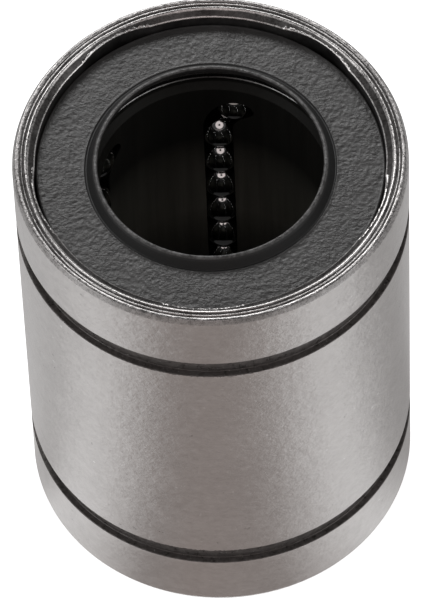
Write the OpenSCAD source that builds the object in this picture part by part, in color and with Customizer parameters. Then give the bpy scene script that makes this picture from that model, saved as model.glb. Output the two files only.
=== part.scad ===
// Closed linear ball bushing: a ground steel sleeve, a moulded ball retainer, two end rings,
// two shaft seals and five recirculating circuits of balls.
// +Z runs along the bore. The origin is the middle of the bore, halfway along the sleeve.
// Each circuit is a flat racetrack: a load row that runs on the shaft, a return row set
// further out under a relief channel of the sleeve, and a half-turn of balls at each end.

/* [Shaft] */
// Diameter of the shaft that the load balls run on
shaft_d = 16; // [15.99:0.01:16.01]

/* [Outer sleeve] */
// Outside diameter of the sleeve
sleeve_d = 28; // [27.9:0.1:29]
// Overall length of the sleeve
sleeve_length = 37; // [37:0.5:40]
// Distance over the outer walls of the two retaining-ring grooves
groove_span = 26.5; // [25:0.1:28]
// Width of each retaining-ring groove
groove_width = 1.6; // [1.3:0.05:1.9]
// Diameter at the floor of each retaining-ring groove
groove_floor_d = 27; // [26.6:0.1:27.4]
// Size of the broken edges on both sides of a groove
groove_edge_break = 0.1; // [0.05:0.01:0.2]
// Radial width of the outer chamfer at each end
rim_chamfer_width = 0.2; // [0.1:0.05:0.3]
// Height of the outer chamfer and of the inner bevel at each end
rim_bevel_height = 0.4; // [0.2:0.05:0.5]
// Diameter where the flat end face meets the inner bevel
rim_face_inner_d = 26; // [25.6:0.1:26.4]
// Diameter of the seat that holds the end ring and the seal
seat_d = 24.8; // [24.6:0.1:25]
// Depth of that seat below the end face
seat_depth = 3.1; // [2.9:0.05:3.2]
// Diameter across the bottoms of the relief channels
relief_across_d = 25.28; // [25.26:0.01:25.4]
// Radius of each relief channel's round bottom
relief_r = 7.5; // [7.45:0.01:7.6]

/* [Balls] */
// Diameter of a ball
ball_d = 3.175; // [3.15:0.005:3.175]
// Balls in each load row and in each return row
row_balls = 6; // [4:1:6]
// Distance between neighbouring balls in a row
ball_pitch = 3.2; // [3.19:0.005:3.2]
// How far the load rows stand above mid-length at rest, and the return rows below it
row_offset = 0.72; // [0:0.02:0.8]
// Angle around a half-turn from the end of its feeding row to its first ball
turn_first_angle = 58.9; // [55:0.1:62]
// Angle between the two balls of a half-turn
turn_ball_angle = 81; // [81:0.1:81.4]

/* [Circuits] */
// Direction of the first load row, counted from +X
first_row_angle = 85.5; // [0:0.1:360]
// Angle from a load row to its return row
return_angle = 27; // [26.9:0.1:27.4]
// Distance of the return row's ball centres from the bore axis
return_centre_r = 10.85; // [10.8:0.01:10.87]
// Height of the half-turn's centre above mid-length
turn_height = 10.07; // [10.05:0.01:10.5]
// Radial play of a ball in its channel
channel_play = 0.06; // [0.05:0.005:0.07]

/* [Ball retainer] */
// Bore of the retainer
retainer_bore_d = 16.8; // [16.4:0.05:16.9]
// Outside diameter of the retainer
retainer_d = 22.1; // [21.8:0.05:22.2]
// Axial play between the retainer and each end ring
retainer_end_play = 0.1; // [0.05:0.01:0.12]
// Size of the chamfer at each mouth of the retainer
retainer_mouth_chamfer = 0.45; // [0.1:0.05:0.5]

/* [End rings and seals] */
// Thickness of a steel end ring
end_ring_thickness = 0.55; // [0.4:0.05:0.6]
// Bore of a steel end ring
end_ring_bore_d = 18; // [17.8:0.1:19]
// Depth of the seal's flat face below the end face
seal_face_depth = 1.15; // [1:0.05:1.3]
// Height of the raised lip above the seal's flat face
lip_rise = 0.7; // [0.5:0.05:0.8]
// Diameter at the foot of the raised lip
lip_foot_d = 17.56; // [17.4:0.02:17.8]
// Length of the cylindrical wiping edge
lip_land = 0.35; // [0.2:0.05:0.5]

/* [Hidden] */
$fn = 96;

circuits = 5;
circuit_step = 360 / circuits;
turn_balls = 2;
cut_past = 1;

// Radii and heights of the sleeve
shaft_r = shaft_d / 2;
ball_r = ball_d / 2;
sleeve_r = sleeve_d / 2;
half_length = sleeve_length / 2;
groove_outer_z = groove_span / 2;
groove_inner_z = groove_outer_z - groove_width;
groove_floor_r = groove_floor_d / 2;
seat_r = seat_d / 2;
shoulder_z = half_length - seat_depth;
race_play = 0.04;
race_r = shaft_r + ball_d + race_play;
relief_centre_r = relief_across_d / 2 - relief_r;

// The circuit's racetrack, seen along the bore with its load row on +X
load_centre_r = shaft_r + ball_r;
load_point = [load_centre_r, 0];
return_point = return_centre_r * [cos(return_angle), -sin(return_angle)];
track_chord = return_point - load_point;
track_middle = (load_point + return_point) / 2;
track_angle = atan2(track_chord[1], track_chord[0]);
turn_r = norm(track_chord) / 2;
channel_r = ball_r + channel_play;
channel_depth = 3;

// Parts pressed into the seat
press_play = 0.02;
insert_r = seat_r - press_play;
end_ring_edge = 0.1;
end_ring_top_z = shoulder_z + end_ring_thickness;

// Rubber of a seal, from its face down to the end ring
seal_face_z = half_length - seal_face_depth;
seal_edge_chamfer = 0.2;
lip_foot_r = lip_foot_d / 2;
lip_groove_width = 0.15;
lip_groove_depth = 0.07;
lip_top_z = seal_face_z + lip_rise;
lip_crest_width = 0.2;
lip_mouth_chamfer = 0.08;
lip_bottom_z = lip_top_z - lip_mouth_chamfer - lip_land;
lip_back_width = 0.3;
lip_back_height = 0.5;
seal_throat_step = 0.2;
seal_throat_height = 0.55;
seal_throat_r = end_ring_bore_d / 2 + seal_throat_step;
seal_throat_z = end_ring_top_z + seal_throat_height;

// Stiffening ring, covered by rubber on every side
core_plate = 0.4;
core_cover = 0.25;
core_bore_cover = 0.5;
core_rim_cover = 0.35;
core_inner_r = seal_throat_r + core_bore_cover;
core_outer_r = insert_r - core_rim_cover;
core_bottom_z = end_ring_top_z + core_cover;
core_top_z = seal_face_z - core_cover;

steel = "#8f8b88";
ball_steel = "#5c5c60";
retainer_black = "#17181a";
rubber_black = "#2b2b2d";

function below(points) = [for (i = [len(points) - 1:-1:0]) [points[i][0], -points[i][1]]];

// Frame of one circuit: +X from the load row to the return row, +Y outwards, +Z along the bore
module circuit_frame(number) {
    rotate([0, 0, first_row_angle + circuit_step * (number - 1)])
        translate(track_middle)
            rotate([0, 0, track_angle])
                children();
}

// Ground sleeve with two retaining-ring grooves, a seat at each end and five relief channels
module outer_sleeve() {
    upper_outline = [
        [sleeve_r, groove_inner_z - groove_edge_break],
        [sleeve_r - groove_edge_break, groove_inner_z],
        [groove_floor_r, groove_inner_z],
        [groove_floor_r, groove_outer_z],
        [sleeve_r - groove_edge_break, groove_outer_z],
        [sleeve_r, groove_outer_z + groove_edge_break],
        [sleeve_r, half_length - rim_bevel_height],
        [sleeve_r - rim_chamfer_width, half_length],
        [rim_face_inner_d / 2, half_length],
        [seat_r, half_length - rim_bevel_height],
        [seat_r, shoulder_z],
        [race_r, shoulder_z]
    ];
    color(steel)
        difference() {
            rotate_extrude() polygon(concat(upper_outline, below(upper_outline)));
            for (i = [0:circuits - 1])
                rotate([0, 0, first_row_angle + circuit_step * (i + 0.5)])
                    translate([relief_centre_r, 0, 0])
                        cylinder(r = relief_r, h = sleeve_length + 2 * cut_past, center = true);
        }
}

// Section of a ball channel: round towards the bore and open outwards
module channel_section() {
    circle(channel_r);
    translate([-channel_r, 0]) square([2 * channel_r, channel_depth]);
}

// Racetrack channel of one circuit
module ball_channel() {
    for (side = [-1, 1])
        translate([side * turn_r, 0, -turn_height])
            linear_extrude(2 * turn_height) channel_section();
    for (end = [0, 180])
        rotate([0, end, 0])
            translate([0, 0, -turn_height])
                rotate([-90, 0, 0])
                    rotate_extrude(angle = 180)
                        translate([turn_r, 0]) channel_section();
}

// Moulded retainer that guides the balls and keeps them in when there is no shaft
module ball_retainer() {
    end_z = shoulder_z - retainer_end_play;
    mouth_r = retainer_bore_d / 2 + retainer_mouth_chamfer;
    upper_outline = [
        [retainer_d / 2, end_z],
        [mouth_r, end_z],
        [retainer_bore_d / 2, end_z - retainer_mouth_chamfer]
    ];
    color(retainer_black)
        difference() {
            rotate_extrude() polygon(concat(upper_outline, below(upper_outline)));
            for (number = [1:circuits]) circuit_frame(number) ball_channel();
        }
}

// Steel ring that holds the retainer in, pressed onto the shoulder of the seat
module end_ring() {
    color(steel)
        rotate_extrude()
            polygon([
                [end_ring_bore_d / 2 + end_ring_edge, shoulder_z],
                [insert_r, shoulder_z],
                [insert_r, end_ring_top_z],
                [end_ring_bore_d / 2 + end_ring_edge, end_ring_top_z],
                [end_ring_bore_d / 2, end_ring_top_z - end_ring_edge],
                [end_ring_bore_d / 2, shoulder_z + end_ring_edge]
            ]);
}

// Angle-section stiffening ring inside a seal
module seal_core_section() {
    polygon([
        [core_inner_r, core_bottom_z],
        [core_outer_r, core_bottom_z],
        [core_outer_r, core_top_z],
        [core_outer_r - core_plate, core_top_z],
        [core_outer_r - core_plate, core_bottom_z + core_plate],
        [core_inner_r, core_bottom_z + core_plate]
    ]);
}

module seal_core() {
    color(steel) rotate_extrude() seal_core_section();
}

// Rubber seal: flat face, raised cone-sided lip that wipes the shaft, and a throat under the lip
module seal_lip() {
    color(rubber_black)
        rotate_extrude()
            difference() {
                polygon([
                    [seal_throat_r, end_ring_top_z],
                    [insert_r, end_ring_top_z],
                    [insert_r, seal_face_z - seal_edge_chamfer],
                    [insert_r - seal_edge_chamfer, seal_face_z],
                    [lip_foot_r + lip_groove_width, seal_face_z],
                    [lip_foot_r + lip_groove_width / 2, seal_face_z - lip_groove_depth],
                    [lip_foot_r, seal_face_z - lip_groove_depth],
                    [shaft_r + lip_crest_width, lip_top_z],
                    [shaft_r + lip_mouth_chamfer, lip_top_z],
                    [shaft_r, lip_top_z - lip_mouth_chamfer],
                    [shaft_r, lip_bottom_z],
                    [shaft_r + lip_back_width, lip_bottom_z - lip_back_height],
                    [seal_throat_r, seal_throat_z]
                ]);
                seal_core_section();
            }
}

module row_of_balls() {
    for (i = [0:row_balls - 1])
        translate([0, 0, (i - (row_balls - 1) / 2) * ball_pitch])
            sphere(d = ball_d);
}

// Balls that carry the shaft
module load_balls(number) {
    color(ball_steel)
        circuit_frame(number)
            translate([-turn_r, 0, row_offset]) row_of_balls();
}

// Balls on their way back, clear of the shaft
module return_balls(number) {
    color(ball_steel)
        circuit_frame(number)
            translate([turn_r, 0, -row_offset]) row_of_balls();
}

// Balls in a half-turn. The lower one is the upper one turned half round in the track's plane.
module turn_balls(number, end) {
    color(ball_steel)
        circuit_frame(number)
            rotate([0, end == "upper" ? 0 : 180, 0])
                for (i = [0:turn_balls - 1]) {
                    angle = turn_first_angle + i * turn_ball_angle;
                    translate([-turn_r * cos(angle), 0, turn_height + turn_r * sin(angle)])
                        sphere(d = ball_d);
                }
}

outer_sleeve();
ball_retainer();
end_ring();  // upper_end_ring
mirror([0, 0, 1]) end_ring();  // lower_end_ring
seal_core();  // upper_seal_core
mirror([0, 0, 1]) seal_core();  // lower_seal_core
seal_lip();  // upper_seal_lip
mirror([0, 0, 1]) seal_lip();  // lower_seal_lip
load_balls(1);  // circuit_1_load_balls
return_balls(1);  // circuit_1_return_balls
turn_balls(1, "upper");  // circuit_1_upper_turn_balls
turn_balls(1, "lower");  // circuit_1_lower_turn_balls
load_balls(2);  // circuit_2_load_balls
return_balls(2);  // circuit_2_return_balls
turn_balls(2, "upper");  // circuit_2_upper_turn_balls
turn_balls(2, "lower");  // circuit_2_lower_turn_balls
load_balls(3);  // circuit_3_load_balls
return_balls(3);  // circuit_3_return_balls
turn_balls(3, "upper");  // circuit_3_upper_turn_balls
turn_balls(3, "lower");  // circuit_3_lower_turn_balls
load_balls(4);  // circuit_4_load_balls
return_balls(4);  // circuit_4_return_balls
turn_balls(4, "upper");  // circuit_4_upper_turn_balls
turn_balls(4, "lower");  // circuit_4_lower_turn_balls
load_balls(5);  // circuit_5_load_balls
return_balls(5);  // circuit_5_return_balls
turn_balls(5, "upper");  // circuit_5_upper_turn_balls
turn_balls(5, "lower");  // circuit_5_lower_turn_balls
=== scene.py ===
"""Looks of the closed linear ball bushing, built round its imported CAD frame.

Lengths in this script are millimetres until a mesh is made; MM turns them into the frame's metres.
The steel shell, the seals, the end rings and the balls are finer pieces that stand for their CAD nodes.
The retainer and the stiffening rings are the CAD nodes themselves with better materials.
"""

import math

import bmesh
import bpy
import numpy as np
from mathutils import Matrix, Vector


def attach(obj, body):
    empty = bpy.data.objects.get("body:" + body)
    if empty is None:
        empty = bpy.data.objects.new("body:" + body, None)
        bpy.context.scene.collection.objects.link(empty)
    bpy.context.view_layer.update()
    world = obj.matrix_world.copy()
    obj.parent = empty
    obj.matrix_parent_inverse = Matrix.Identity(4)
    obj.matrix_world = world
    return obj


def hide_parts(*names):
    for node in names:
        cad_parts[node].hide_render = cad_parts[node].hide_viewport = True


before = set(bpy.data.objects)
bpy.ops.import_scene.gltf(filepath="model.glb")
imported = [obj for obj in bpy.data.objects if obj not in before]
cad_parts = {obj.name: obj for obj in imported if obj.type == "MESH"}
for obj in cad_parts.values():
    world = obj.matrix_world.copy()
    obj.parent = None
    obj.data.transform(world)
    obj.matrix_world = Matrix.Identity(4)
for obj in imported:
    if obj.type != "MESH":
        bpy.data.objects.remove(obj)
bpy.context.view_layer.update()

MM = 0.001
TAU = 2 * math.pi
BODY = "bushing"
ENDS = (("upper", 1), ("lower", -1))

# Every finer ring has this many points round the axis
COLUMNS = 1200
ANGLES = np.linspace(0, TAU, COLUMNS, endpoint=False)
POCKET_COLUMNS = 240

# Seeds of the random waves, one for each piece and end
SHELL_SEEDS = {"upper": 11, "lower": 911}
SEAL_SEEDS = {"upper": 300, "lower": 700}
END_RING_SEEDS = {"upper": 400, "lower": 800}

# Sleeve, as in the CAD source
SLEEVE_R = 14.0
HALF_LENGTH = 18.5
GROOVE_OUTER_Z = 13.25
GROOVE_INNER_Z = 11.65
GROOVE_FLOOR_R = 13.5
RIM_FACE_INNER_R = 13.0
BEVEL_HEIGHT = 0.4
SEAT_R = 12.4
SHOULDER_Z = 15.4
RACE_R = 11.215
RELIEF_CENTRE_R = 5.14
RELIEF_R = 7.5

# Where the groove's burr is roughest, and where shade is painted on the end rings' beads
BURR_ANGLE, BURR_SPREAD = math.radians(262), math.radians(17)
BEAD_SHADE_ANGLE, BEAD_SHADE_SPREAD = math.radians(90), math.radians(30)

# End rings, seals and the stiffening rings in the seals
INSERT_R = 12.38
END_RING_TOP_Z = 15.95
END_RING_BORE_R = 9.0
THROAT_R = END_RING_BORE_R + 0.2
SEAL_FACE_Z = 17.35
LIP_FOOT_R = 8.78
LIP_TOP_Z = 18.05
CORE_PLATE = 0.4
CORE_INNER_R = THROAT_R + 0.5
CORE_OUTER_R = INSERT_R - 0.35
CORE_BOTTOM_Z = END_RING_TOP_Z + 0.25
CORE_TOP_Z = SEAL_FACE_Z - 0.25

# Balls and their circuits
SHAFT_R = 8.0
BALL_R = 3.175 / 2
CIRCUITS = 5
CIRCUIT_STEP = math.radians(72)
FIRST_ROW_ANGLE = math.radians(85.5)
ROW_BALLS = 6
BALL_PITCH = 3.2
ROW_OFFSET = 0.72
TURN_BALLS = 2
TURN_FIRST_ANGLE = math.radians(58.9)
TURN_BALL_STEP = math.radians(81)
TURN_HEIGHT = 10.07
RETURN_ANGLE = math.radians(27)
RETURN_CENTRE_R = 10.85

# Camera, looking at the middle of the bushing but for a small pan and tilt
CAMERA_DISTANCE = 547.76
CAMERA_ELEVATION = math.radians(56.435)
CAMERA_ROLL = math.radians(2.443)
CAMERA_PAN = math.radians(0.0331)
CAMERA_TILT = math.radians(0.0187)
CAMERA_LENS = 453.465

# Studio
FLOOR_Z = -HALF_LENGTH - 0.01
FLOOR_R = 4000.0
PATCH_R = 13.8
LENS_R = 58.0
LENS_RING_R = 215.0
LENS_SETBACK = 40.0
STUDIO_SIDES = 96


# ---------------------------------------------------------------- shapes

def ripple(seed, low, high, power=0.5):
    """Random wave round the axis: whole waves from low to high per turn, about 1 in size."""
    rng = np.random.default_rng(seed)
    waves = np.arange(low, high + 1)
    size = waves ** -power
    size = size / math.sqrt((size ** 2).sum() / 2)
    phase = rng.uniform(0, TAU, len(waves))
    return (size[:, None] * np.cos(waves[:, None] * ANGLES + phase[:, None])).sum(0)


def bell(angle, width):
    """Smooth hump round the axis, 1 at the angle and fading over the width."""
    return np.exp(-((ANGLES - angle) / width) ** 2)


def value_noise(seed, rows, columns, shape):
    """Smooth random field of the given shape on a lattice of rows by columns cells, closed round the axis."""
    rng = np.random.default_rng(seed)
    lattice = rng.uniform(-1, 1, (rows + 2, columns))
    v = np.linspace(0, rows, shape[0])[:, None]
    u = (np.arange(shape[1]) * columns / shape[1])[None, :]
    i, j = v.astype(int), u.astype(int)
    a, b = v - i, u - j
    a, b = a * a * (3 - 2 * a), b * b * (3 - 2 * b)
    after = (j + 1) % columns
    lower = lattice[i, j % columns] * (1 - b) + lattice[i, after] * b
    upper = lattice[i + 1, j % columns] * (1 - b) + lattice[i + 1, after] * b
    return lower * (1 - a) + upper * a


def rounded(points, steps):
    """Closed outline from (r, z, fillet radius) corners, each corner turned into a short arc."""
    out = []
    count = len(points)
    for i, (r, z, fillet) in enumerate(points):
        here = np.array([r, z], float)
        if fillet <= 0:
            out.append(here)
            continue
        before = np.array(points[i - 1][:2], float) - here
        after = np.array(points[(i + 1) % count][:2], float) - here
        reach = min(fillet, 0.45 * np.linalg.norm(before), 0.45 * np.linalg.norm(after))
        start = here + before / np.linalg.norm(before) * reach
        end = here + after / np.linalg.norm(after) * reach
        for t in np.linspace(0, 1, steps):
            out.append((1 - t) ** 2 * start + 2 * t * (1 - t) * here + t ** 2 * end)
    return np.array(out)


def spread(outline, spacing):
    """Closed outline with extra points so that no step is longer than spacing."""
    out = []
    for a, b in zip(outline, np.roll(outline, -1, 0)):
        parts = max(1, int(math.ceil(np.linalg.norm(b - a) / spacing)))
        out += [a + (b - a) * k / parts for k in range(parts)]
    return np.array(out)


def full_turn(outline, columns=COLUMNS):
    """Rows of radii and heights for an outline that is the same all the way round."""
    ones = np.ones((1, columns))
    return outline[:, :1] * ones, outline[:, 1:2] * ones


def ring_points(radii, heights):
    """Points of a ring from radii and heights given row by row, each row once round the axis."""
    angles = np.linspace(0, TAU, radii.shape[1], endpoint=False)
    return np.stack([radii * np.cos(angles), radii * np.sin(angles), heights], -1).reshape(-1, 3)


def ring_faces(rows, columns, first=0):
    """Quads of a closed ring; they face outwards where its rows run down the outside."""
    i, j = np.meshgrid(np.arange(rows), np.arange(columns), indexing="ij")
    below, after = (i + 1) % rows, (j + 1) % columns
    quads = np.stack([i * columns + j, below * columns + j, below * columns + after, i * columns + after], -1)
    return (quads.reshape(-1, 4) + first).tolist()


def add_mesh(name, points, faces, materials, face_materials=None, smooth=True, dirt_and_painted_light=None):
    """New object from points in millimetres; dirt_and_painted_light is one number per point for the material
    to read, marking dirty and worn places, painted shade and a painted highlight.
    """
    mesh = bpy.data.meshes.new(name)
    mesh.from_pydata((points * MM).tolist(), [], faces)
    for material in materials:
        mesh.materials.append(material)
    if face_materials is not None:
        mesh.polygons.foreach_set("material_index", face_materials)
    if smooth:
        mesh.polygons.foreach_set("use_smooth", [True] * len(mesh.polygons))
    if dirt_and_painted_light is not None:
        layer = mesh.attributes.new("dirt_and_painted_light", "FLOAT", "POINT")
        layer.data.foreach_set("value", dirt_and_painted_light.astype(np.float32))
    mesh.update()
    piece = bpy.data.objects.new(name, mesh)
    bpy.context.scene.collection.objects.link(piece)
    return piece


def put_on(piece, nodes, body=BODY):
    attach(piece, body)
    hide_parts(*nodes)


# ---------------------------------------------------------------- materials

class Shader:
    """Short way to write a node material. Noise scales are in cells per millimetre."""

    def __init__(self, name):
        self.material = bpy.data.materials.new(name)
        self.material.use_nodes = True
        self.tree = self.material.node_tree
        self.surface = self.tree.nodes["Principled BSDF"]

    def node(self, kind, settings=None, **inputs):
        node = self.tree.nodes.new(kind)
        for key, value in (settings or {}).items():
            setattr(node, key, value)
        for key, value in inputs.items():
            self.feed(node.inputs[key.replace("_", " ")], value)
        return node

    def feed(self, socket, value):
        if isinstance(value, bpy.types.NodeSocket):
            self.tree.links.new(value, socket)
        else:
            socket.default_value = value

    def set(self, **inputs):
        for key, value in inputs.items():
            self.feed(self.surface.inputs[key.replace("_", " ")], value)

    def places(self, stretch=(1, 1, 1)):
        """The surface point in millimetres, stretched."""
        coordinates = self.node("ShaderNodeTexCoord").outputs["Object"]
        scale = [s / MM for s in stretch]
        mapping = self.node("ShaderNodeMapping", Vector=coordinates, Scale=scale)
        return mapping.outputs["Vector"]

    def noise(self, scale, detail, rough, stretch=(1, 1, 1), bend=0.0):
        node = self.node("ShaderNodeTexNoise", Vector=self.places(stretch), Scale=scale,
                         Detail=detail, Roughness=rough, Distortion=bend)
        return node.outputs["Fac"]

    def fit(self, value, low, high, to_low=0.0, to_high=1.0):
        node = self.node("ShaderNodeMapRange", {"clamp": True}, Value=value)
        for key, number in zip(("From Min", "From Max", "To Min", "To Max"), (low, high, to_low, to_high)):
            node.inputs[key].default_value = number
        return node.outputs["Result"]

    def math(self, operation, a, b=0.0):
        node = self.node("ShaderNodeMath", {"operation": operation})
        self.feed(node.inputs[0], a)
        self.feed(node.inputs[1], b)
        return node.outputs[0]

    def mix(self, factor, a, b):
        node = self.node("ShaderNodeMix", {"data_type": "RGBA"})
        self.feed(node.inputs["Factor"], factor)
        self.feed(node.inputs[6], a)
        self.feed(node.inputs[7], b)
        return node.outputs[2]

    def bump(self, height, strength, distance, onto=None):
        node = self.node("ShaderNodeBump", Height=height, Strength=strength, Distance=distance * MM)
        if onto is not None:
            self.feed(node.inputs["Normal"], onto)
        return node.outputs["Normal"]

    def attribute(self, name):
        return self.node("ShaderNodeAttribute", {"attribute_name": name}).outputs["Fac"]


def grey(value, warmth=0.0):
    """Grey with a touch of the pinkish brown that oiled steel takes on."""
    return (value * (1 + warmth), value, value * (1 - 0.4 * warmth), 1.0)


def ground_steel():
    """Cylindrically ground outside: hair lines round the axis, cloudy patches, a few small marks."""
    s = Shader("ground_steel")
    lines = s.noise(1.0, 4, 0.7, (0.25, 0.25, 14))
    clouds = s.noise(0.22, 4, 0.6)
    blotches = s.noise(1.5, 5, 0.7, (1, 1, 1.3))
    marks = s.fit(s.noise(1.1, 3, 0.65, (1, 1, 1.3)), 0.70, 0.76)
    flecks = s.fit(s.noise(1.9, 2, 0.5, (1, 1, 1.5)), 0.73, 0.78)
    tone = s.math("ADD", s.math("MULTIPLY", clouds, 0.35), s.math("MULTIPLY", blotches, 0.65))
    tone = s.math("ADD", tone, s.fit(lines, 0.3, 0.7, -0.03, 0.03))
    colour = s.mix(s.fit(tone, 0.38, 0.62), grey(0.50, 0.040), grey(0.595, 0.034))
    colour = s.mix(s.math("MULTIPLY", marks, 0.6), colour, grey(0.20, 0.06))
    colour = s.mix(s.math("MULTIPLY", flecks, 0.5), colour, grey(0.95, 0.0))
    rough = s.math("ADD", s.fit(clouds, 0.3, 0.7, 0.30, 0.36), s.fit(blotches, 0.3, 0.7, -0.04, 0.04))
    normal = s.bump(lines, 0.4, 0.004)
    normal = s.bump(blotches, 1.0, 0.11, normal)
    tangent = s.node("ShaderNodeTangent", {"direction_type": "RADIAL", "axis": "Z"})
    s.set(Base_Color=colour, Metallic=1.0, Roughness=rough, Anisotropic=0.75,
          Anisotropic_Rotation=0.25, Tangent=tangent.outputs["Tangent"], Normal=normal)
    return s.material


def turned_steel():
    """Turned end face: bright ridges, dirty grooves between them with painted shade in them, and painted
    shade on the outer chamfer and down the inner bevel.
    """
    s = Shader("turned_steel")
    dirt_and_shade = s.attribute("dirt_and_painted_light")
    patches = s.noise(0.9, 4, 0.6)
    grain = s.noise(4.5, 4, 0.65)
    colour = s.mix(s.fit(grain, 0.34, 0.66), grey(0.38, 0.04), grey(0.66, 0.03))
    # Near black where the rows mark it: dirty grooves with painted shade in them, and painted shade on the
    # outer chamfer and the inner bevel.
    depth = s.math("MULTIPLY", s.fit(dirt_and_shade, 0.05, 0.7), s.fit(patches, 0.3, 0.7, 0.85, 1.0))
    colour = s.mix(depth, colour, grey(0.022, 0.10))
    rough = s.fit(grain, 0.3, 0.7, 0.20, 0.38)
    normal = s.bump(grain, 0.45, 0.03)
    s.set(Base_Color=colour, Metallic=s.fit(depth, 0.0, 1.0, 1.0, 0.45), Roughness=rough,
          Specular_IOR_Level=0.25, Normal=normal)
    return s.material


def groove_steel():
    """Groove walls left dark by heat treatment, with turning lines and a few bright specks."""
    s = Shader("groove_steel")
    grain = s.noise(2.2, 5, 0.65)
    lines = s.noise(1.0, 3, 0.6, (0.7, 0.7, 9))
    specks = s.fit(s.noise(6.5, 2, 0.6), 0.66, 0.72)
    colour = s.mix(s.fit(grain, 0.3, 0.7), grey(0.055, 0.12), grey(0.125, 0.10))
    colour = s.mix(s.math("MULTIPLY", specks, 0.6), colour, grey(0.40, 0.03))
    normal = s.bump(lines, 0.5, 0.02)
    normal = s.bump(grain, 0.5, 0.03, normal)
    s.set(Base_Color=colour, Metallic=0.4, Roughness=s.fit(grain, 0.3, 0.7, 0.24, 0.40), Normal=normal)
    return s.material


def bore_steel():
    """Inside of the shell: dark grey in patches, with strokes along the bore left by the broach."""
    s = Shader("bore_steel")
    strokes = s.noise(1.0, 4, 0.65, (6, 6, 0.4))
    tone_patches = s.noise(0.7, 3, 0.6)
    colour = s.mix(s.fit(tone_patches, 0.3, 0.7), grey(0.08, 0.03), grey(0.20, 0.02))
    normal = s.bump(strokes, 0.5, 0.02)
    s.set(Base_Color=colour, Metallic=0.9, Roughness=s.fit(strokes, 0.3, 0.7, 0.28, 0.45), Normal=normal)
    return s.material


def ring_steel():
    """Pressed ring painted near black as shade, with a bright sheared edge round the bottom of its bore."""
    s = Shader("ring_steel")
    dirt_and_shade = s.attribute("dirt_and_painted_light")
    marks = s.noise(2.5, 4, 0.65)
    wear = s.noise(0.8, 3, 0.6)
    colour = s.mix(s.fit(wear, 0.3, 0.7), grey(0.55, 0.01), grey(0.70, 0.0))
    # Painted shade: near black over the ring except its bead, and darker on part of the bead.
    colour = s.mix(dirt_and_shade, colour, grey(0.012, 0.05))
    s.set(Base_Color=colour, Metallic=s.fit(dirt_and_shade, 0.0, 1.0, 1.0, 0.2),
          Roughness=s.fit(marks, 0.3, 0.7, 0.2, 0.34), Specular_IOR_Level=0.25,
          Normal=s.bump(marks, 0.4, 0.015))
    return s.material


def core_steel():
    """Plain rolled steel of the stiffening rings, with a little mill scale."""
    s = Shader("core_steel")
    scale = s.noise(1.6, 4, 0.6)
    colour = s.mix(s.fit(scale, 0.3, 0.7), grey(0.34, 0.01), grey(0.46, 0.0))
    s.set(Base_Color=colour, Metallic=1.0, Roughness=s.fit(scale, 0.3, 0.7, 0.35, 0.5),
          Normal=s.bump(scale, 0.4, 0.02))
    return s.material


def seal_rubber():
    """Moulded rubber: leathery wrinkles with finer grain over them, a crest lightened by wear and by a
    painted highlight, and a smooth cone painted near black as shade.
    """
    s = Shader("seal_rubber")
    patches = s.fit(s.noise(0.55, 3, 0.6), 0.40, 0.60, 0.25, 1.0)
    wrinkles = s.math("MULTIPLY", s.noise(5.4, 1.8, 0.5, (1.0, 1.5, 1.0), 0.3), patches)
    grain = s.noise(8.0, 2, 0.5)
    place = s.attribute("dirt_and_painted_light")
    # The crest's lighter colour is partly wear and partly a painted highlight; the cone's near black is
    # painted shade.
    wear = s.math("MULTIPLY", s.fit(place, 0.0, 1.0), s.fit(s.noise(2.4, 5, 0.75), 0.44, 0.60, 0.05, 1.0))
    cone = s.fit(place, 0.0, -1.0)
    dust = s.fit(s.noise(0.5, 4, 0.6), 0.35, 0.7)
    colour = s.mix(dust, grey(0.030, 0.04), grey(0.044, 0.04))
    colour = s.mix(wear, colour, grey(0.13, 0.02))
    colour = s.mix(cone, colour, grey(0.010, 0.0))
    rough = s.math("ADD", s.fit(grain, 0.3, 0.7, 0.34, 0.46), s.math("MULTIPLY", cone, 0.1))
    normal = s.bump(wrinkles, s.fit(cone, 0.0, 1.0, 1.0, 0.15), 0.042)
    normal = s.bump(grain, s.fit(cone, 0.0, 1.0, 0.5, 0.1), 0.025, normal)
    s.set(Base_Color=colour, Roughness=rough, Specular_IOR_Level=0.5, Normal=normal)
    return s.material


def retainer_plastic():
    """Moulded retainer with faint draw marks along the bore, and painted shade that darkens it towards both
    mouths.
    """
    s = Shader("retainer_plastic")
    draws = s.noise(1.0, 3, 0.6, (1.6, 1.6, 0.06))
    grain = s.noise(4.0, 3, 0.6)
    olive, pale_olive = (0.20, 0.195, 0.165, 1.0), (0.27, 0.265, 0.225, 1.0)
    colour = s.mix(s.fit(draws, 0.35, 0.65), olive, pale_olive)
    height = s.node("ShaderNodeSeparateXYZ", Vector=s.places()).outputs["Z"]
    # Painted shade: the bore darkens to near black towards both ends, leaving it lightest near mid-length.
    mouth_shade = s.fit(s.math("ABSOLUTE", height), -2.0, 9.0, 0.0, 0.95)
    colour = s.mix(mouth_shade, colour, grey(0.006, 0.0))
    normal = s.bump(draws, 0.5, 0.05)
    normal = s.bump(grain, 0.3, 0.02, normal)
    s.set(Base_Color=colour, Roughness=s.fit(draws, 0.3, 0.7, 0.36, 0.5),
          Specular_IOR_Level=0.08, Normal=normal)
    return s.material


def ball_steel():
    """Polished bearing ball with faint haze and hair scratches under oil."""
    s = Shader("ball_steel")
    haze = s.noise(1.2, 3, 0.6)
    scratch = s.noise(1.0, 3, 0.7, (2, 14, 5))
    colour = s.mix(s.fit(haze, 0.3, 0.7), grey(0.48, 0.01), grey(0.58, 0.0))
    s.set(Base_Color=colour, Metallic=1.0, Roughness=s.fit(haze, 0.3, 0.7, 0.05, 0.11),
          Normal=s.bump(scratch, 0.08, 0.004))
    return s.material


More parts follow.
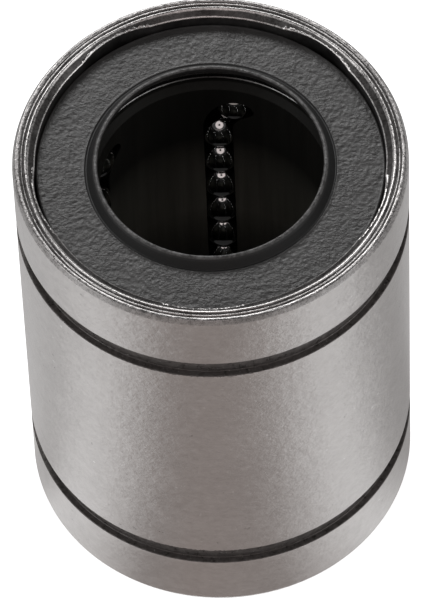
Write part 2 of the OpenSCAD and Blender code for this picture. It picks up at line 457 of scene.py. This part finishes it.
GROUND, TURNED, GROOVE, BORE = ground_steel(), turned_steel(), groove_steel(), bore_steel()
RING, CORE, RUBBER, RETAINER, BALL = (
    ring_steel(), core_steel(), seal_rubber(), retainer_plastic(), ball_steel())


# ---------------------------------------------------------------- steel shell

# Materials of the shell, by index
SHELL_MATERIALS = [GROUND, TURNED, GROOVE, BORE]
ON_GROUND, ON_TURNED, ON_GROOVE, ON_BORE = range(4)

# The turned end face from outside in: (radius, drop below the face, dirty grooves and painted shade)
FACE_RIDGES = (
    (13.76, 0.010, 0.40), (13.70, 0.000, 0.36), (13.64, 0.006, 0.32), (13.585, 0.004, 0.22),
    (13.54, 0.020, 0.2), (13.50, 0.065, 0.75), (13.45, 0.085, 1.0), (13.41, 0.060, 0.7),
    (13.375, 0.012, 0.0), (13.345, 0.000, 0.0), (13.315, 0.014, 0.1),
    (13.28, 0.070, 0.8), (13.22, 0.100, 1.0), (13.16, 0.090, 0.95), (13.12, 0.040, 0.5),
    (13.08, 0.006, 0.05), (13.03, 0.000, 0.0),
)
DEEPEST_RIDGE = 0.12
LAST_RIDGE_R = 12.985


def relief_reach():
    """Distance from the axis to the bottoms of the relief channels, column by column; 0 outside them."""
    reach = np.zeros(COLUMNS)
    for k in range(CIRCUITS):
        turn = ANGLES - (FIRST_ROW_ANGLE + CIRCUIT_STEP * (k + 0.5))
        turn = (turn + math.pi) % TAU - math.pi
        under = RELIEF_R ** 2 - (RELIEF_CENTRE_R * np.sin(turn)) ** 2
        reach = np.maximum(reach, RELIEF_CENTRE_R * np.cos(turn) + np.sqrt(under))
    return reach


class Skin:
    """Rows of a ring's surface, each once round the axis: radius, height, material index and
    dirt_and_painted_light, which marks dirty places and painted shade for the material.
    """

    def __init__(self):
        self.rows = []

    def row(self, r, z, material, dirt_and_painted_light=0.0):
        ones = np.ones(COLUMNS)
        self.rows.append((r * ones, z * ones, material, np.clip(dirt_and_painted_light * ones, 0, 1)))


def outside_rows(skin, seed):
    """Outside from mid-length over the groove to the rim, with a rough burr at the groove's edges."""
    chips = np.clip(ripple(seed, 60, 420, 0.3), -1.6, 2.2)
    broad = ripple(seed + 1, 3, 40)
    ragged = 0.6 + 2.6 * bell(BURR_ANGLE, BURR_SPREAD)
    edge = np.clip(0.018 + 0.016 * chips * ragged + 0.008 * broad, 0.0, 0.11)
    corner, half_corner = 0.06, 0.017
    for z in (0.0, 3.0, 6.0, 9.0, 10.8, 11.3):
        skin.row(SLEEVE_R, z, ON_GROUND)
    skin.row(SLEEVE_R, GROOVE_INNER_Z - 0.06 - edge, ON_GROUND)
    skin.row(SLEEVE_R - 0.012, GROOVE_INNER_Z - 0.03 - 0.8 * edge, ON_GROUND)
    skin.row(SLEEVE_R - 0.05, GROOVE_INNER_Z - 0.004 - 0.3 * edge, ON_GROOVE)
    skin.row(SLEEVE_R - 0.11, GROOVE_INNER_Z, ON_GROOVE)
    skin.row(SLEEVE_R - 0.3, GROOVE_INNER_Z, ON_GROOVE)
    skin.row(GROOVE_FLOOR_R + corner, GROOVE_INNER_Z, ON_GROOVE)
    skin.row(GROOVE_FLOOR_R + half_corner, GROOVE_INNER_Z + half_corner, ON_GROOVE)
    skin.row(GROOVE_FLOOR_R, GROOVE_INNER_Z + corner, ON_GROOVE)
    for t in (0.25, 0.5, 0.75):
        z = GROOVE_INNER_Z + t * (GROOVE_OUTER_Z - GROOVE_INNER_Z)
        skin.row(GROOVE_FLOOR_R + 0.004 * ripple(seed + 2 + int(4 * t), 3, 60), z, ON_GROOVE)
    skin.row(GROOVE_FLOOR_R, GROOVE_OUTER_Z - corner, ON_GROOVE)
    skin.row(GROOVE_FLOOR_R + half_corner, GROOVE_OUTER_Z - half_corner, ON_GROOVE)
    skin.row(GROOVE_FLOOR_R + corner, GROOVE_OUTER_Z, ON_GROOVE)
    skin.row(SLEEVE_R - 0.10, GROOVE_OUTER_Z, ON_GROOVE)
    edge = np.clip(0.010 + 0.006 * ripple(seed + 7, 60, 420, 0.3), 0.0, 0.04)
    skin.row(SLEEVE_R - 0.04, GROOVE_OUTER_Z + 0.01 + edge, ON_GROOVE)
    skin.row(SLEEVE_R - 0.012, GROOVE_OUTER_Z + 0.035 + edge, ON_GROUND)
    skin.row(SLEEVE_R, GROOVE_OUTER_Z + 0.09 + edge, ON_GROUND)
    for z in (14.0, 15.5, 17.0, 17.8, 18.06):
        skin.row(SLEEVE_R, z, ON_GROUND)


def rim_rows(skin, seed):
    """Outer chamfer with painted shade, and the turned end face with dirty grooves and painted shade between
    its ridges.
    """
    uneven = ripple(seed + 8, 3, 90, 0.5)
    # Painted shade on the outer chamfer rows, varying a little round the axis.
    skin.row(13.985, 18.12, ON_GROUND, 0.2)
    skin.row(13.95, 18.22, ON_TURNED, 0.32 + 0.03 * uneven)
    skin.row(13.87, 18.38, ON_TURNED, 0.34 + 0.05 * uneven)
    skin.row(13.81 + 0.006 * uneven, 18.47, ON_TURNED, 0.36 + 0.05 * uneven)
    for k, (r, drop, dirt_and_shade) in enumerate(FACE_RIDGES):
        wave = ripple(seed + 20 + k, 8, 200, 0.4)
        wander = 0.010 * ripple(seed + 50 + k // 3, 2, 30, 0.7)
        depth = np.clip(drop + 0.004 * wave, 0.0, DEEPEST_RIDGE)
        skin.row(r + wander, HALF_LENGTH - depth, ON_TURNED, dirt_and_shade + 0.08 * wave * (dirt_and_shade > 0.02))


def bevel_and_bore_rows(skin, seed):
    """Inner bevel with painted shade down it, the seat's edge that the relief channels cut into scallops, the
    seat and the race.
    """
    reach = relief_reach()
    brink_r = np.maximum(SEAT_R, reach)
    slope = BEVEL_HEIGHT / (RIM_FACE_INNER_R - SEAT_R)
    brink_z = HALF_LENGTH - BEVEL_HEIGHT + slope * (brink_r - SEAT_R)
    start_z = HALF_LENGTH - 0.02
    # The bevel is painted darker as shade from its top edge down.
    for t, dirt_and_shade in ((0.04, 0.0), (0.17, 0.15), (0.26, 0.75), (0.45, 1.0), (0.62, 1.0)):
        wave = ripple(seed + 80 + int(20 * t), 6, 160, 0.5)
        bevel_r = LAST_RIDGE_R + (brink_r - LAST_RIDGE_R) * t
        z = start_z + (brink_z - start_z) * t + 0.004 * wave
        skin.row(bevel_r, z, ON_TURNED, dirt_and_shade + 0.1 * wave * (dirt_and_shade > 0.1))

    # The broach tore the scallops' edges into a bright burr, which stays inside the bevel's last row
    in_channel = reach > SEAT_R
    burr = np.clip(0.5 + 0.5 * ripple(seed + 70, 10, 300, 0.45), 0.0, 1.6)
    burr = burr * np.where(in_channel, 1.0, 0.45)
    scallop = np.where(in_channel, 1.0, 0.12)
    torn = 0.014 * ripple(seed + 71, 40, 420, 0.2) * scallop
    outer_r = np.minimum(brink_r + 0.09 + 0.24 * scallop * burr, bevel_r - 0.01)
    inner_r = np.minimum(brink_r + 0.06 + 0.20 * scallop * burr, outer_r - 0.015)
    # Painted shade on the bevel's last row and a little on the brink row below the burr.
    skin.row(outer_r, brink_z + slope * (outer_r - brink_r), ON_TURNED, 0.75)
    skin.row(inner_r, brink_z + slope * (inner_r - brink_r) + 0.015 * scallop + torn, ON_TURNED)
    skin.row(brink_r + 0.012, brink_z + 0.018 + 0.02 * burr * scallop - torn, ON_TURNED)
    skin.row(brink_r - 0.004, brink_z - 0.012 + 0.012 * burr, ON_TURNED)
    skin.row(brink_r, brink_z - 0.06, ON_TURNED, 0.35)
    skin.row(brink_r, brink_z - 0.14, ON_BORE)
    for z in (17.7, 17.2, 16.5, SHOULDER_Z):
        skin.row(brink_r, z, ON_BORE)
    race_r = np.maximum(RACE_R, reach)
    for z in (SHOULDER_Z, SHOULDER_Z - 0.05, 12.0, 6.0):
        skin.row(race_r, z, ON_BORE)


def half_shell(seed):
    """Rows of the shell's upper half from mid-length outside over the rim to the middle inside."""
    skin = Skin()
    outside_rows(skin, seed)
    rim_rows(skin, seed)
    bevel_and_bore_rows(skin, seed)
    return skin.rows


def face_material(above, below):
    """A quad takes the higher index of its two rows, but the bore's where the outside meets it."""
    if {above, below} == {ON_GROUND, ON_BORE}:
        return ON_BORE
    return max(above, below)


def build_shell():
    upper, lower = (half_shell(SHELL_SEEDS[end]) for end, _ in ENDS)
    rows = upper + [(r, -z, m, g) for r, z, m, g in reversed(lower[1:])]
    radii, heights, marks, dirt_and_painted_light = zip(*rows)
    row_materials = [face_material(a, b) for a, b in zip(marks, marks[1:] + marks[:1])]
    shell = add_mesh("steel_shell", ring_points(np.array(radii), np.array(heights)),
                     ring_faces(len(rows), COLUMNS), SHELL_MATERIALS,
                     np.repeat(row_materials, COLUMNS), dirt_and_painted_light=np.array(dirt_and_painted_light).reshape(-1))
    put_on(shell, ["outer_sleeve"])


# ---------------------------------------------------------------- seals and end rings

def turned_over(points, faces, side):
    """The upper piece itself, or its mirror image at the lower end, with its faces outwards."""
    points[:, 2] *= side
    if side > 0:
        faces = [f[::-1] for f in faces]
    return points, faces


def core_pocket():
    """Surface of the closed pocket that holds the stiffening ring, facing into the pocket."""
    outline = np.array([
        (CORE_INNER_R, CORE_BOTTOM_Z),
        (CORE_OUTER_R, CORE_BOTTOM_Z),
        (CORE_OUTER_R, CORE_TOP_Z),
        (CORE_OUTER_R - CORE_PLATE, CORE_TOP_Z),
        (CORE_OUTER_R - CORE_PLATE, CORE_BOTTOM_Z + CORE_PLATE),
        (CORE_INNER_R, CORE_BOTTOM_Z + CORE_PLATE),
    ])[::-1]
    return full_turn(outline, POCKET_COLUMNS)


def build_seal(name, side, seed):
    """Rubber seal with a wrinkled face and a cone-sided lip; dirt_and_painted_light is 1 on its crest,
    lighter by wear and a painted highlight, and -1 on its cone, where shade is painted.
    """
    outline = spread(rounded([
        (THROAT_R, END_RING_TOP_Z, 0.0),
        (INSERT_R, END_RING_TOP_Z, 0.05),
        (INSERT_R, SEAL_FACE_Z - 0.12, 0.08),
        (INSERT_R - 0.12, SEAL_FACE_Z, 0.08),
        (LIP_FOOT_R + 0.15, SEAL_FACE_Z, 0.05),
        (LIP_FOOT_R + 0.075, SEAL_FACE_Z - 0.07, 0.03),
        (LIP_FOOT_R, SEAL_FACE_Z - 0.07, 0.03),
        (8.42, LIP_TOP_Z - 0.22, 0.05),
        (8.22, LIP_TOP_Z, 0.08),
        (SHAFT_R + 0.08, LIP_TOP_Z, 0.03),
        (SHAFT_R, LIP_TOP_Z - 0.08, 0.03),
        (SHAFT_R, LIP_TOP_Z - 0.43, 0.04),
        (SHAFT_R + 0.3, LIP_TOP_Z - 0.93, 0.15),
        (THROAT_R, END_RING_TOP_Z + 0.55, 0.1),
    ], 5), 0.09)
    radii, heights = full_turn(outline)
    count = len(outline)

    # The face sinks a little unevenly and the lip is a little wavy
    on_face = (heights > SEAL_FACE_Z - 0.012) & (radii > 9.0) & (radii < 12.2)
    coarse = value_noise(seed, count // 2, 260, radii.shape)
    fine = value_noise(seed + 1, count, 520, radii.shape)
    heights = heights - np.where(on_face, 0.026 + 0.026 * (0.6 * coarse + 0.4 * fine), 0.0)
    on_lip = (heights > SEAL_FACE_Z + 0.1) & (radii > 8.02)
    heights = heights + np.where(on_lip, 0.004 * value_noise(seed + 2, count, 400, radii.shape), 0.0)
    heights = np.minimum(heights, LIP_TOP_Z)

    # Crest lighter by wear and a painted highlight; cone painted near black as shade.
    crest = np.clip((heights - (LIP_TOP_Z - 0.16)) / 0.08, 0, 1) * (radii < 8.34)
    on_cone = (radii > 8.30) & (radii < 8.92) & (heights > SEAL_FACE_Z - 0.1) & (crest == 0)
    dirt_and_painted_light = np.where(on_cone, -1.0, crest)

    skin = ring_points(radii, heights)
    pocket_radii, pocket_heights = core_pocket()
    pocket = ring_points(pocket_radii, pocket_heights)
    faces = ring_faces(count, COLUMNS) + ring_faces(*pocket_radii.shape, first=len(skin))
    points, faces = turned_over(np.concatenate([skin, pocket]), faces, side)
    dirt_and_painted_light = np.concatenate([dirt_and_painted_light.reshape(-1), np.zeros(len(pocket))])
    return add_mesh(name, points, faces, [RUBBER], dirt_and_painted_light=dirt_and_painted_light)


def build_end_ring(name, side, seed):
    """Pressed ring whose bore keeps a small bright bead at its lower edge; the rest of the ring is painted
    near black as shade, and the bead has painted shade on one side.
    """
    bore = END_RING_BORE_R
    outline = rounded([
        (bore + 0.1, SHOULDER_Z, 0.04),
        (INSERT_R, SHOULDER_Z, 0.05),
        (INSERT_R, END_RING_TOP_Z, 0.05),
        (bore + 0.12, END_RING_TOP_Z, 0.06),
        (bore + 0.06, END_RING_TOP_Z - 0.1, 0.05),
        (bore + 0.06, SHOULDER_Z + 0.16, 0.02),
        (bore, SHOULDER_Z + 0.09, 0.02),
        (bore, SHOULDER_Z + 0.05, 0.02),
    ], 4)
    radii, heights = full_turn(spread(outline, 0.3))
    bead = (radii < bore + 0.05) & (heights < SHOULDER_Z + 0.2)
    radii = radii + np.where(bead, np.abs(0.002 * ripple(seed, 20, 200, 0.5)), 0.0)
    # Painted shade: near black over the ring outside its bead, and a hump of painted shade on the bead round
    # one side.
    dirt_and_painted_light = np.where(bead, 0.85 * bell(BEAD_SHADE_ANGLE, BEAD_SHADE_SPREAD), 1.0)
    points, faces = turned_over(ring_points(radii, heights), ring_faces(len(radii), COLUMNS), side)
    return add_mesh(name, points, faces, [RING], dirt_and_painted_light=dirt_and_painted_light.reshape(-1))


# ---------------------------------------------------------------- balls

def circuit_frame(number):
    """The circuit's own frame, as in the CAD source: X from load row to return row, Y outwards."""
    load = np.array([SHAFT_R + BALL_R, 0.0])
    back = RETURN_CENTRE_R * np.array([math.cos(RETURN_ANGLE), -math.sin(RETURN_ANGLE)])
    middle = (load + back) / 2
    along = back - load
    place = (Matrix.Rotation(FIRST_ROW_ANGLE + CIRCUIT_STEP * (number - 1), 4, "Z")
             @ Matrix.Translation((middle[0], middle[1], 0.0))
             @ Matrix.Rotation(math.atan2(along[1], along[0]), 4, "Z"))
    return place, np.linalg.norm(along) / 2


def ball_form():
    """Points and triangles of one ball round the origin."""
    mesh = bpy.data.meshes.new("ball_form")
    form = bmesh.new()
    bmesh.ops.create_icosphere(form, subdivisions=5, radius=BALL_R)
    form.to_mesh(mesh)
    form.free()
    points = np.array([v.co for v in mesh.vertices])
    faces = np.array([list(p.vertices) for p in mesh.polygons])
    bpy.data.meshes.remove(mesh)
    return points, faces


def build_balls(number, form_points, form_faces):
    """The four groups of balls of one circuit; each group is one piece that rides on its own body."""
    place, turn_r = circuit_frame(number)
    rows = [(i - (ROW_BALLS - 1) / 2) * BALL_PITCH for i in range(ROW_BALLS)]
    turns = [TURN_FIRST_ANGLE + TURN_BALL_STEP * i for i in range(TURN_BALLS)]
    groups = {
        "load_balls": [(-turn_r, z + ROW_OFFSET) for z in rows],
        "return_balls": [(turn_r, z - ROW_OFFSET) for z in rows],
        "upper_turn_balls": [(-turn_r * math.cos(a), TURN_HEIGHT + turn_r * math.sin(a)) for a in turns],
        "lower_turn_balls": [(turn_r * math.cos(a), -TURN_HEIGHT - turn_r * math.sin(a)) for a in turns],
    }
    for group, centres in groups.items():
        node = f"circuit_{number}_{group}"
        points = [form_points + np.array(place @ Vector((x, 0.0, z))) for x, z in centres]
        faces = [form_faces + i * len(form_points) for i in range(len(centres))]
        piece = add_mesh("polished_" + node, np.concatenate(points), np.concatenate(faces).tolist(), [BALL])
        put_on(piece, [node], node + "_body")


def build_pieces():
    build_shell()
    for end, side in ENDS:
        seal = build_seal(f"{end}_seal", side, SEAL_SEEDS[end])
        put_on(seal, [f"{end}_seal_lip"])
        ring = build_end_ring(f"{end}_ring", side, END_RING_SEEDS[end])
        put_on(ring, [f"{end}_end_ring"])
    form_points, form_faces = ball_form()
    for number in range(1, CIRCUITS + 1):
        build_balls(number, form_points, form_faces)


def finish_cad_nodes():
    """Better materials for the CAD nodes that stay in view."""
    for node, material, slot in (
        ("ball_retainer", RETAINER, "retainer_plastic"),
        ("upper_seal_core", CORE, "core_steel"),
        ("lower_seal_core", CORE, "core_steel"),
    ):
        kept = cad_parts[node]
        kept.data.materials.clear()
        kept.data.materials.append(material)


# ---------------------------------------------------------------- studio

def emitter(name, colour, strength):
    s = Shader(name)
    s.tree.nodes.remove(s.surface)
    glow = s.node("ShaderNodeEmission", Color=colour, Strength=strength)
    s.tree.links.new(glow.outputs[0], s.tree.nodes["Material Output"].inputs["Surface"])
    return s, glow


def only_reflected(piece):
    """The piece shows in reflections and nowhere else."""
    piece.visible_camera = False
    piece.visible_diffuse = False
    piece.visible_shadow = False
    piece.visible_transmission = False


def tent_cloth():
    """Cloth whose glow changes round the axis: (place round the axis, brightness, warmth)."""
    s, glow = emitter("tent_cloth", grey(1.0), 1.0)
    gradient = s.node("ShaderNodeTexGradient", {"gradient_type": "RADIAL"}, Vector=s.places())
    ramp = s.node("ShaderNodeValToRGB", Fac=gradient.outputs["Fac"])
    stops = (
        (0.00, 0.62, 0.01), (0.035, 0.64, 0.01), (0.062, 0.99, 0.0), (0.09, 0.96, 0.0), (0.115, 0.85, 0.01),
        (0.137, 0.66, 0.03), (0.17, 0.35, 0.09), (0.22, 0.33, 0.14), (0.30, 0.35, 0.10), (0.333, 0.58, 0.04),
        (0.355, 0.76, 0.02), (0.38, 0.93, 0.0), (0.40, 0.99, 0.0), (0.42, 0.92, 0.0), (0.445, 0.68, 0.01),
        (0.48, 0.44, 0.02), (0.53, 0.42, 0.02), (0.57, 0.70, 0.0), (0.66, 0.42, 0.0), (0.84, 0.42, 0.0),
        (0.95, 0.72, 0.0),
    )
    elements = ramp.color_ramp.elements
    while len(elements) > 1:
        elements.remove(elements[0])
    for k, (place, value, warmth) in enumerate(stops):
        stop = elements[0] if k == 0 else elements.new(place)
        stop.position = place
        stop.color = grey(value, warmth)
    s.tree.links.new(ramp.outputs["Color"], glow.inputs["Color"])
    return s.material


def build_tent():
    """Light tent round the object that only polished surfaces see: pale sides, a darker front."""
    outline = np.array([(14.03, -18.45), (40, -18.45), (90, -18.40), (120, -10), (130, 30), (130, 90)], float)
    radii, heights = full_turn(outline, STUDIO_SIDES)
    rows, columns = radii.shape
    faces = []
    for i in range(rows - 1):
        for j in range(columns):
            k = (j + 1) % columns
            faces.append((i * columns + j, i * columns + k, (i + 1) * columns + k, (i + 1) * columns + j))
    tent = add_mesh("light_tent", ring_points(radii, heights), faces, [tent_cloth()])
    only_reflected(tent)


def flat_disc(name, inner_r, outer_r, place, turn, material):
    """Flat disc or flat ring, facing along its own Z."""
    points, faces = [], []
    for k in range(STUDIO_SIDES):
        angle = TAU * k / STUDIO_SIDES
        for r in (inner_r, outer_r):
            points.append(list(place + turn @ Vector((r * math.cos(angle), r * math.sin(angle), 0.0))))
        after = (k + 1) % STUDIO_SIDES
        faces.append((2 * k, 2 * k + 1, 2 * after + 1, 2 * after))
    disc = add_mesh(name, np.array(points), faces, [material], smooth=False)
    return disc


def build_floor():
    """Pale paper on a light table; the patch under the bushing gets no light from below."""
    place, level = Vector((0, 0, FLOOR_Z)), Matrix.Identity(3)
    rings = (("floor", PATCH_R, FLOOR_R, 0.85), ("floor_patch", 0.0, PATCH_R, 0.02))
    for name, inner_r, outer_r, glow in rings:
        s = Shader(name + "_paper")
        fibres = s.noise(0.05, 3, 0.5)
        s.set(Base_Color=s.mix(fibres, grey(0.84), grey(0.88)), Roughness=0.8, Specular_IOR_Level=0.0,
              Emission_Color=grey(1.0), Emission_Strength=glow)
        s.material.cycles.emission_sampling = "NONE"
        flat_disc(name, inner_r, outer_r, place, level, s.material)


def build_lens_light():
    """Pale ring round the lens and the dark lens itself, as the polished balls mirror them."""
    toward = Vector((0, -math.cos(CAMERA_ELEVATION), math.sin(CAMERA_ELEVATION)))
    turn = toward.to_track_quat("Z", "Y").to_matrix()
    ring_light = emitter("lens_ring_light", (1.0, 0.90, 0.885, 1.0), 0.95)[0].material
    shade = emitter("lens_shade", grey(0.02), 1.0)[0].material
    place = toward * (CAMERA_DISTANCE + LENS_SETBACK)
    ring = flat_disc("lens_ring", LENS_R, LENS_RING_R, place, turn, ring_light)
    only_reflected(ring)
    ring.visible_diffuse = True
    only_reflected(flat_disc("lens_disc", 0.0, LENS_R, place, turn, shade))


def area_light(name, place, size, power):
    """Rectangular soft box that faces the middle of the bushing; power is in watts."""
    data = bpy.data.lights.new(name, "AREA")
    data.shape = "RECTANGLE"
    data.size, data.size_y = size[0] * MM, size[1] * MM
    data.energy = power
    light = bpy.data.objects.new(name, data)
    light.location = Vector(place) * MM
    light.rotation_mode = "QUATERNION"
    light.rotation_quaternion = (-Vector(place)).to_track_quat("-Z", "Y")
    bpy.context.scene.collection.objects.link(light)


def build_world():
    world = bpy.data.worlds.new("studio_grey")
    world.use_nodes = True
    background = world.node_tree.nodes["Background"]
    background.inputs["Color"].default_value = grey(1.0)
    background.inputs["Strength"].default_value = 0.07
    bpy.context.scene.world = world
    bpy.context.scene.view_settings.view_transform = "Standard"


def build_studio():
    build_tent()
    build_floor()
    build_lens_light()
    build_world()
    area_light("back_box", place=(-60, 340, 290), size=(320, 160), power=1.05)
    area_light("left_box", place=(-260, -60, 260), size=(150, 160), power=0.22)
    area_light("right_box", place=(260, -60, 260), size=(150, 160), power=0.20)


def build_camera():
    """Camera in front, well above the horizon and slightly rolled."""
    forward = Vector((0, math.cos(CAMERA_ELEVATION), -math.sin(CAMERA_ELEVATION)))
    place = forward * -CAMERA_DISTANCE * MM
    right = Vector((1, 0, 0))
    up = right.cross(forward)
    aim = Matrix.Rotation(CAMERA_PAN, 3, up) @ Matrix.Rotation(CAMERA_TILT, 3, right)
    forward, right, up = aim @ forward, aim @ right, aim @ up
    lean = Matrix.Rotation(CAMERA_ROLL, 3, forward)
    right, up = lean @ right, lean @ up
    data = bpy.data.cameras.new("camera")
    data.lens = CAMERA_LENS
    data.clip_start, data.clip_end = 0.01, 20.0
    camera = bpy.data.objects.new("camera", data)
    turn = Matrix((right, up, -forward)).transposed().to_4x4()
    camera.matrix_world = Matrix.Translation(place) @ turn
    bpy.context.scene.collection.objects.link(camera)
    bpy.context.scene.camera = camera


build_pieces()
finish_cad_nodes()
build_studio()
build_camera()
